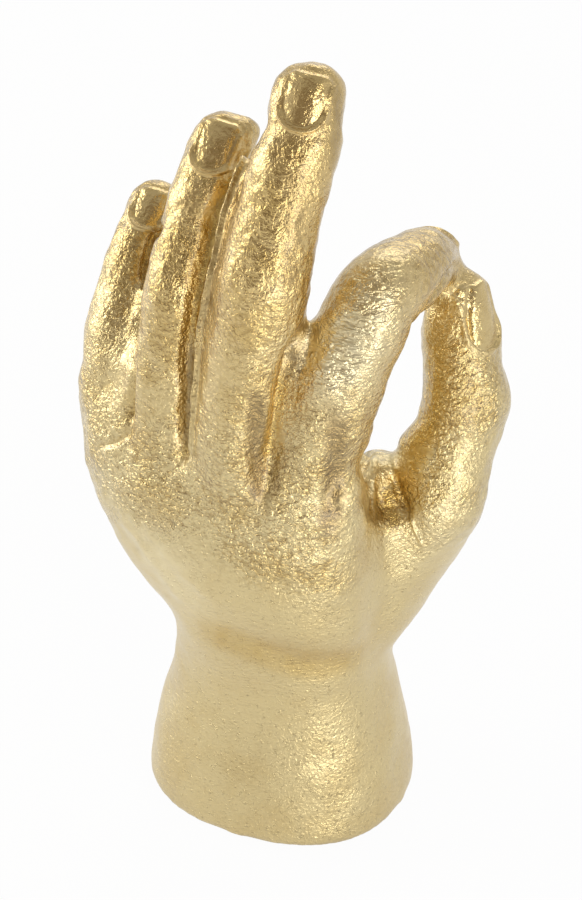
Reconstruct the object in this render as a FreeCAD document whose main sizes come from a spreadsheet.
"""A hollow ceramic hand standing on its cut wrist, its thumb and index finger closed in a ring.

Millimetres, +Z up. The origin is under the middle of the wrist, on the surface the hand stands on.
The back of the hand faces -Y, the palm faces +Y, and the thumb is on the +X side.
The hand is slip-cast in six hollow pieces that are luted together before firing: the palm with its
wrist, four fingers and a thumb, each finger open at its root into the palm. A cast disc with a vent
closes the foot, and a felt sheet under the disc carries the hand.
"""

import FreeCAD, Part
import math
import os

DOC = FreeCAD.newDocument("ceramic_hand")
ACROSS = FreeCAD.Vector(1, 0, 0)
BACK = FreeCAD.Vector(0, -1, 0)
UP = FreeCAD.Vector(0, 0, 1)

# Driving dimensions, in millimetres
SIZES = {
    "foot_width": 68.0,
    "waist_width": 54.4,
    "palm_width": 75.0,
    "palm_height": 116.0,
    "palm_setback": 17.0,
    "thenar_girth": 34.0,
    "hypothenar_girth": 26.0,
    "web_girth": 27.0,
    "wall": 4.0,
    "rim_clearance": 0.6,
    "disc_thickness": 5.0,
    "disc_ledge": 3.0,
    "disc_gap": 0.3,
    "vent_diameter": 7.0,
    "felt_thickness": 1.2,
    "felt_inset": 1.5,
    "cut_overrun": 2.0,
}
# Bones run from the knuckle to the tip, in millimetres. Curl, in degrees, bends a bone towards the
# palm, and lean towards the thumb. Girth is the thickness at the knuckle, first joint, pulp and tip.
FINGER_SIZES = {
    "little": {
        "bone": (30.0, 16.5, 14.0),
        "curl_angle": (8.0, 30.0, 42.0),
        "lean_angle": (-3.0, 2.0, 4.0),
        "girth": (21.4, 17.5, 14.8, 13.8),
    },
    "ring": {
        "bone": (42.0, 22.0, 15.5),
        "curl_angle": (3.0, 24.0, 38.0),
        "lean_angle": (3.0, 4.0, 3.0),
        "girth": (21.6, 18.6, 15.8, 14.6),
    },
    "middle": {
        "bone": (52.0, 26.0, 16.5),
        "curl_angle": (0.0, 16.0, 29.0),
        "lean_angle": (8.0, 7.5, 1.0),
        "girth": (23.6, 21.0, 18.6, 16.6),
    },
    "index": {
        "bone": (44.0, 20.0, 16.0),
        "curl_angle": (10.0, 94.0, 118.0),
        "lean_angle": (17.0, 8.0, -10.0),
        "girth": (22.4, 20.8, 16.0, 13.8),
    },
    "thumb": {
        "bone": (26.0, 26.0),
        "curl_angle": (18.0, 10.0),
        "lean_angle": (10.0, -8.0),
        "girth": (23.6, 21.6, 18.8, 14.8),
    },
}
PLACES = ("one", "two", "three", "four")

# Knuckles, as shares of the palm's width across, its setback behind the wrist and its height
KNUCKLE_SHARES = {
    "little": (-0.500, 0.65, 0.897),
    "ring": (-0.273, 1.06, 0.966),
    "middle": (-0.020, 1.24, 1.009),
    "index": (0.205, 0.94, 1.034),
    "thumb": (0.507, -0.53, 0.819),
}
# Heels of the rays that carry the four fingers, inside the palm, as shares of the same three sizes
HEEL_SHARES = {
    "little": (-0.22, 0.45, 0.62),
    "ring": (-0.14, 0.70, 0.62),
    "middle": (-0.02, 0.80, 0.62),
    "index": (0.09, 0.60, 0.62),
}
HEEL_GIRTH_SHARE = 0.90
# How far up its first bone each finger is luted to the palm, as a share of the bone
ROOT_SHARES = {"little": 0.64, "ring": 0.45, "middle": 0.45, "index": 0.50, "thumb": 0.12}

# The forms beside each finger, which trim it where they press against it
TRIMMED_BY = {
    "little": ("ring_ray",),
    "ring": ("little_ray", "middle_ray", "middle"),
    "middle": ("ring_ray", "index_ray"),
    "index": ("middle_ray", "middle", "thumb"),
    "thumb": ("web",),
}

# Sections of the wrist and palm: the width that each follows, its share of that width, its depth as
# a share of its own width, and its centre as shares of the palm's width, setback and height
PALM_SECTION_SHARES = (
    ("foot_width", 0.985, 0.853, 0.004, 0.00, 0.007),
    ("foot_width", 1.000, 0.853, 0.004, 0.00, 0.024),
    ("foot_width", 0.994, 0.850, 0.004, 0.00, 0.086),
    ("foot_width", 0.942, 0.852, 0.006, 0.00, 0.190),
    ("foot_width", 0.855, 0.862, 0.012, 0.00, 0.293),
    ("waist_width", 1.000, 0.864, 0.012, 0.06, 0.380),
    ("waist_width", 1.022, 0.828, 0.006, 0.18, 0.466),
    ("palm_width", 0.795, 0.772, -0.007, 0.41, 0.552),
    ("palm_width", 0.880, 0.652, -0.040, 0.65, 0.672),
    ("palm_width", 0.947, 0.535, -0.073, 0.82, 0.793),
    ("palm_width", 1.000, 0.427, -0.100, 0.94, 0.914),
    ("palm_width", 0.985, 0.380, -0.100, 1.00, 0.990),
    ("palm_width", 0.900, 0.320, -0.100, 1.02, 1.035),
)
# The hollow follows the sections from the foot's flare to under the knuckles
HOLLOW_SECTION_SHARES = [shares for shares in PALM_SECTION_SHARES if 0.1 < shares[-1] < 1]

# The fleshy masses of the palm, each a path of round sections: a section's share of the mass's girth,
# and its centre as shares of the palm's width, setback and height
THENAR_SHARES = (
    (0.80, 0.150, -0.10, 0.400),
    (0.94, 0.275, -0.46, 0.560),
    (0.90, 0.400, -0.62, 0.700),
)
HYPOTHENAR_SHARES = (
    (0.80, -0.200, -0.10, 0.430),
    (1.00, -0.290, -0.16, 0.580),
    (1.00, -0.350, 0.20, 0.740),
    (0.80, -0.400, 0.50, 0.870),
)
WEB_SHARES = (
    (0.78, 0.440, -0.46, 0.778),
    (0.95, 0.290, -0.26, 0.793),
    (0.80, 0.100, 0.60, 0.826),
)

# A bend opens its inner crease and fills its outer side, and the pulp lies along the last bone
CREASE_SHARE = 0.45
KNUCKLE_FILL_SHARE = 0.55
PULP_SHARE = 0.40
# The ball of a tip stands this much fuller than the finger's own tip section
TIP_FULLNESS_SHARE = 1.03
# Sections along a finger lie this share of its knuckle's girth apart, at most
STATION_SHARE = 0.35
LARGEST_TURN = math.radians(75)


def filled_sheet():
    """The spreadsheet of driving dimensions: a plain number and an alias in each row."""
    sheet = DOC.addObject("Spreadsheet::Sheet", "Sizes")
    cells = dict(SIZES)
    for finger, sizes in FINGER_SIZES.items():
        for word, values in sizes.items():
            for place, value in zip(PLACES, values):
                cells[f"{finger}_{word}_{place}"] = value
    for row, (alias, value) in enumerate(cells.items(), start=1):
        sheet.set(f"A{row}", alias)
        sheet.set(f"B{row}", str(value))
        sheet.setAlias(f"B{row}", alias)
    DOC.recompute()
    return sheet


SHEET = filled_sheet()


def size(alias):
    """A driving dimension, read from its cell."""
    return float(SHEET.get(alias))


def finger_values(finger, word):
    """A finger's cells of one kind, from its knuckle to its tip."""
    places = PLACES[: len(FINGER_SIZES[finger][word])]
    return [size(f"{finger}_{word}_{place}") for place in places]


def palm_point(across_share, back_share, up_share):
    """A point placed by its shares of the palm's width, setback and height."""
    across = ACROSS * (across_share * size("palm_width"))
    back = BACK * (back_share * size("palm_setback"))
    return across + back + UP * (up_share * size("palm_height"))


def directions_along(points):
    """The direction of a path at each of its points."""
    before = [points[0]] + points[:-1]
    after = points[1:] + [points[-1]]
    return [(end - start).normalize() for start, end in zip(before, after)]


def facing(direction):
    """A turn that points a section's own Z along a direction and keeps its X across the hand."""
    return FreeCAD.Rotation(ACROSS, FreeCAD.Vector(), direction, "ZXY")


def round_section(name, point, direction, radius):
    """A circle square to a path. Its radius is an expression on the sheet's cells."""
    section = DOC.addObject("Part::Circle", name)
    section.setExpression("Radius", radius)
    section.Placement = FreeCAD.Placement(point, facing(direction))
    return section


def oval_section(name, point, width, depth):
    """A level ellipse. Its width and depth are expressions on the sheet's cells."""
    section = DOC.addObject("Part::Ellipse", name)
    section.setExpression("MajorRadius", f"({width}) / 2")
    section.setExpression("MinorRadius", f"({depth}) / 2")
    section.Placement = FreeCAD.Placement(point, FreeCAD.Rotation())
    return section


def loft(name, sections, ruled=False):
    """A solid through sections in their order, smooth or with straight runs between them."""
    solid = DOC.addObject("Part::Loft", name)
    solid.Sections = sections
    solid.Solid = True
    solid.Ruled = ruled
    return solid


def plate(name, outline, height):
    """A level outline raised to a height, which is an expression on the sheet's cells."""
    solid = DOC.addObject("Part::Extrusion", name)
    solid.Base = outline
    solid.Dir = UP
    solid.Solid = True
    solid.setExpression("LengthFwd", height)
    return solid


def ball(name, point, radius):
    """A ball that rounds the end of a finger, or the end of its hollow."""
    solid = DOC.addObject("Part::Sphere", name)
    solid.setExpression("Radius", f"{radius} * {TIP_FULLNESS_SHARE}")
    solid.Placement.Base = point
    return solid


def joined(name, solids):
    """Solids fused into one."""
    fused = DOC.addObject("Part::MultiFuse", name)
    fused.Shapes = solids
    return fused


def cut_from(name, base, tool):
    """A solid less another."""
    cut = DOC.addObject("Part::Cut", name)
    cut.Base = base
    cut.Tool = tool
    return cut


def bone_directions(finger):
    """The direction of each bone, from its curl towards the palm and its lean towards the thumb."""
    directions = []
    for curl, lean in zip(finger_values(finger, "curl_angle"), finger_values(finger, "lean_angle")):
        along = UP * math.cos(math.radians(curl)) - BACK * math.sin(math.radians(curl))
        tilted = along * math.cos(math.radians(lean)) + ACROSS * math.sin(math.radians(lean))
        directions.append(tilted)
    return directions


def finger_joints(finger):
    """The knuckle, the joints and the middle of the tip."""
    points = [palm_point(*KNUCKLE_SHARES[finger])]
    for direction, bone in zip(bone_directions(finger), finger_values(finger, "bone")):
        points.append(points[-1] + direction * bone)
    return points


def girth_marks(finger):
    """Where along the finger its four girths are measured."""
    bones = finger_values(finger, "bone")
    pulp = sum(bones[:-1]) + PULP_SHARE * bones[-1]
    return [0, bones[0], pulp, sum(bones)]


def girth_at(finger, distance):
    """A finger's girth at a distance from its knuckle, as an expression on its cells."""
    marks = girth_marks(finger)
    step = max(place for place in range(len(marks) - 1) if place == 0 or marks[place] < distance)
    share = (distance - marks[step]) / (marks[step + 1] - marks[step])
    thick = f"Sizes.{finger}_girth_{PLACES[step]}"
    thin = f"Sizes.{finger}_girth_{PLACES[step + 1]}"
    return f"({thick} + ({thin} - {thick}) * {share:.4f})"


def girth_value(finger, distance):
    """The same girth as a number."""
    marks = girth_marks(finger)
    girths = finger_values(finger, "girth")
    step = max(place for place in range(len(marks) - 1) if place == 0 or marks[place] < distance)
    share = (distance - marks[step]) / (marks[step + 1] - marks[step])
    return girths[step] + (girths[step + 1] - girths[step]) * share


def bend_place(finger, corner, before, after, share):
    """A place on the round of a bend, whose share runs from -1 where it starts to 1 where it ends."""
    turn = before.getAngle(after)
    radius = bend_radius(finger, corner[1])
    sagitta = radius / math.cos(turn / 2) - radius
    outward = (before - after).normalize()
    onward = (before + after).normalize()
    centre = corner[0] - outward * (radius / math.cos(turn / 2))
    angle = share * turn / 2
    spoke = outward * math.cos(angle) + onward * math.sin(angle)
    direction = onward * math.cos(angle) - outward * math.sin(angle)
    fill = (1 - share * share) * KNUCKLE_FILL_SHARE * sagitta / 2
    fuller = 1 + 2 * fill / girth_value(finger, corner[1])
    return centre + spoke * (radius + fill), direction, fuller


def bend_radius(finger, distance):
    """How wide a finger's middle line turns at a joint, so that its inner crease stays open."""
    return (1 + CREASE_SHARE) * girth_value(finger, distance) / 2


def finger_place(finger, distance):
    """A section of a finger: its middle, direction, distance from the knuckle and fullness."""
    joints = finger_joints(finger)
    directions = bone_directions(finger)
    start = 0
    for joint, bone, before, after in zip(joints, finger_values(finger, "bone"), directions, directions[1:]):
        end = start + bone
        corner = (joint + before * bone, end)
        reach = bend_radius(finger, end) * math.tan(before.getAngle(after) / 2)
        if abs(distance - end) < reach:
            point, direction, fuller = bend_place(finger, corner, before, after, (distance - end) / reach)
            return point, direction, distance, fuller
        if distance < end:
            return joint + before * (distance - start), before, distance, 1
        start = end
    return joints[-2] + directions[-1] * (distance - start), directions[-1], distance, 1


def finger_stations(finger, end):
    """Evenly spaced sections of a finger, from where it is luted to the palm to a distance."""
    root = ROOT_SHARES[finger] * finger_values(finger, "bone")[0]
    steps = math.ceil((end - root) / (STATION_SHARE * finger_values(finger, "girth")[0]))
    return [finger_place(finger, root + (end - root) * step / steps) for step in range(steps + 1)]


def radius_at(finger, station, inset):
    """The radius of a finger's section, less an inset, as an expression on the cells."""
    distance, fuller = station[2:]
    return f"{girth_at(finger, distance)} * {fuller:.4f} / 2{inset}"


def turning_runs(stations):
    """The sections in runs that turn by less than a right angle, each starting where the last ends."""
    runs = [[stations[0]]]
    for station in stations[1:]:
        if station[1].getAngle(runs[-1][0][1]) > LARGEST_TURN:
            runs.append([runs[-1][-1]])
        runs[-1].append(station)
    return runs


def finger_form(finger, name, stations, inset=""):
    """A finger's form from its stations, rounded at the tip, drawn in by an inset."""
    pieces = []
    for turn, run in enumerate(turning_runs(stations)):
        sections = []
        for place, station in enumerate(run):
            radius = radius_at(finger, station, inset)
            sections.append(round_section(f"{name}_{turn}_{place}", station[0], station[1], radius))
        pieces.append(loft(f"{name}_length_{turn}", sections))
    tip = stations[-1]
    pieces.append(ball(f"{name}_tip", tip[0], f"({radius_at(finger, tip, inset)})"))
    return joined(name, pieces)


def finger_outside(finger):
    """The outer form of a finger."""
    return finger_form(finger, f"{finger}_outside", finger_stations(finger, girth_marks(finger)[-1]))


def finger_hollow(finger):
    """The hollow of a finger, from past its open root to its pulp."""
    stations = finger_stations(finger, girth_marks(finger)[-2])
    stations[0] = beyond(stations[0], -size("cut_overrun"))
    return finger_form(finger, f"{finger}_hollow", stations, " - Sizes.wall")


def finger_root(finger):
    """The section where a finger is luted to the palm."""
    return finger_place(finger, ROOT_SHARES[finger] * finger_values(finger, "bone")[0])


def beyond(station, distance):
    """A section moved along its own direction."""
    point, direction, *rest = station
    return (point + direction * distance, direction, *rest)


def path_form(name, points, directions, radii):
    """A smooth solid through circles along a path."""
    sections = []
    for place, (point, direction, radius) in enumerate(zip(points, directions, radii)):
        sections.append(round_section(f"{name}_{place}", point, direction, radius))
    return loft(name, sections)


def ray_form(finger, name, root, inset=""):
    """The ray inside the palm that carries a finger, ending where the finger starts."""
    points = [palm_point(*HEEL_SHARES[finger]), palm_point(*KNUCKLE_SHARES[finger]), root[0]]
    knuckle = (points[1], root[1], 0, 1)
    heel = f"Sizes.{finger}_girth_one * {HEEL_GIRTH_SHARE} / 2{inset}"
    radii = [heel, radius_at(finger, knuckle, inset), radius_at(finger, root, inset)]
    return path_form(name, points, directions_along(points)[:-1] + [root[1]], radii)


def ray_hollow(finger):
    """The hollow of a ray, run on past the finger's root so that the two hollows meet."""
    past = beyond(finger_root(finger), size("cut_overrun"))
    return ray_form(finger, f"{finger}_ray_hollow", past, " - Sizes.wall")


def thenar_form(name, root, inset=""):
    """The fleshy base of the thumb, from the wrist to where the thumb is luted on."""
    points = [palm_point(*centre) for _, *centre in THENAR_SHARES] + [root[0]]
    radii = [f"Sizes.thenar_girth * {share} / 2{inset}" for share, *_ in THENAR_SHARES]
    radii.append(radius_at("thumb", root, inset))
    return path_form(name, points, directions_along(points)[:-1] + [root[1]], radii)


def thenar_hollow():
    """The hollow of the thumb's base, run on past the thumb's root."""
    past = beyond(finger_root("thumb"), size("cut_overrun"))
    return thenar_form("thenar_hollow", past, " - Sizes.wall")


def mass_form(name, girth, table, inset=""):
    """A fleshy mass of the palm, drawn in by an inset."""
    points = [palm_point(*centre) for _, *centre in table]
    radii = [f"Sizes.{girth} * {share} / 2{inset}" for share, *_ in table]
    return path_form(name, points, directions_along(points), radii)


def palm_section(name, shares, inset=""):
    """One level section of the wrist or palm, drawn in by an inset all round."""
    follows, width_share, depth_share, *centre = shares
    width = f"Sizes.{follows} * {width_share}"
    depth = f"{width} * {depth_share}"
    return oval_section(name, palm_point(*centre), width + inset, depth + inset)


def palm_forms():
    """The forms that make the wrist and palm: its body, the thumb's base, the web and the rays."""
    sections = []
    for place, shares in enumerate(PALM_SECTION_SHARES):
        sections.append(palm_section(f"palm_{place}", shares))
    sections[0].Placement.Base.z = size("rim_clearance")
    forms = {
        "body": loft("palm_body", sections),
        "thenar": thenar_form("thenar", finger_root("thumb")),
        "hypothenar": mass_form("hypothenar", "hypothenar_girth", HYPOTHENAR_SHARES),
        "web": mass_form("web", "web_girth", WEB_SHARES),
    }
    for finger in HEEL_SHARES:
        forms[f"{finger}_ray"] = ray_form(finger, f"{finger}_ray", finger_root(finger))
    return forms


def disc_outline(name, height, inset):
    """The outline of the foot's recess at a height, drawn in by an inset."""
    foot = PALM_SECTION_SHARES[1]
    outline = palm_section(name, foot, f" - 2 * (Sizes.wall + {inset})")
    outline.Placement.Base.z = height
    return outline


def disc_top():
    """The height of the ledge that the disc is seated against."""
    return size("felt_thickness") + size("disc_thickness")


def palm_hollow():
    """The hollow of the wrist and palm, with the disc's recess and the hollows of the rays."""
    start = disc_outline("recess_start", -size("cut_overrun"), "0")
    recess = plate("recess", start, "Sizes.cut_overrun + Sizes.felt_thickness + Sizes.disc_thickness")
    mouth = disc_outline("hollow_mouth", disc_top() - size("cut_overrun"), "Sizes.disc_ledge")
    sections = [mouth]
    for place, shares in enumerate(HOLLOW_SECTION_SHARES):
        sections.append(palm_section(f"hollow_{place}", shares, " - 2 * Sizes.wall"))
    hypothenar = mass_form("hypothenar_hollow", "hypothenar_girth", HYPOTHENAR_SHARES, " - Sizes.wall")
    masses = [recess, loft("hollow_body", sections, ruled=True), thenar_hollow(), hypothenar]
    return joined("palm_hollow", masses + [ray_hollow(finger) for finger in HEEL_SHARES])


def palm_and_wrist(forms):
    """The largest casting: the hollow palm and wrist, open at the foot and at each finger's root."""
    outside = joined("palm_outside", list(forms.values()))
    return cut_from("palm_and_wrist", outside, palm_hollow())


def finger_casting(finger, outside, neighbours):
    """A hollow finger, trimmed where it is luted to the forms beside it."""
    casting = cut_from(f"{finger}_cast", outside, finger_hollow(finger))
    for place, neighbour in enumerate(neighbours):
        casting = cut_from(f"{finger}_trim_{place}", casting, neighbour)
    return casting


def base_disc():
    """The cast disc that closes the foot, with a vent for the kiln's steam."""
    outline = disc_outline("disc_outline", size("felt_thickness"), "Sizes.disc_gap")
    blank = plate("disc_blank", outline, "Sizes.disc_thickness")
    vent = DOC.addObject("Part::Cylinder", "vent")
    vent.setExpression("Radius", "Sizes.vent_diameter / 2")
    vent.setExpression("Height", "Sizes.disc_thickness + 2 * Sizes.cut_overrun")
    vent.Placement.Base = UP * (size("felt_thickness") - size("cut_overrun"))
    return cut_from("base_disc", blank, vent)


def base_felt():
    """The felt sheet glued under the disc, on which the hand stands."""
    outline = disc_outline("felt_outline", 0, "Sizes.disc_gap + Sizes.felt_inset")
    return plate("base_felt", outline, "Sizes.felt_thickness")


def built_parts():
    """Every sub-part of the hand under its name."""
    forms = palm_forms()
    parts = {"palm_and_wrist": palm_and_wrist(forms)}
    for finger in FINGER_SIZES:
        forms[finger] = finger_outside(finger)
    for finger, neighbours in TRIMMED_BY.items():
        node = finger if finger == "thumb" else f"{finger}_finger"
        parts[node] = finger_casting(finger, forms[finger], [forms[name] for name in neighbours])
    parts["base_disc"] = base_disc()
    parts["base_felt"] = base_felt()
    for name, part in parts.items():
        part.Label = name
    return parts


def checked(parts):
    """Stops where an object failed, or where a sub-part is not one sound solid."""
    failed = [item.Name for item in DOC.Objects if "Invalid" in item.State or "Error" in item.State]
    if failed:
        raise ValueError(f"these failed: {failed}")
    for name, part in parts.items():
        volumes = [f"{solid.Volume:.1f}" for solid in part.Shape.Solids]
        print(f"{name}: solids of {volumes} mm3")
        if part.Shape.isNull() or not part.Shape.isValid() or len(volumes) != 1:
            raise ValueError(f"{name} is not one sound solid")


PARTS = built_parts()
DOC.recompute()
checked(PARTS)
os.makedirs("parts", exist_ok=True)
for node, part in PARTS.items():
    part.Shape.exportStep(f"parts/{node}.step")
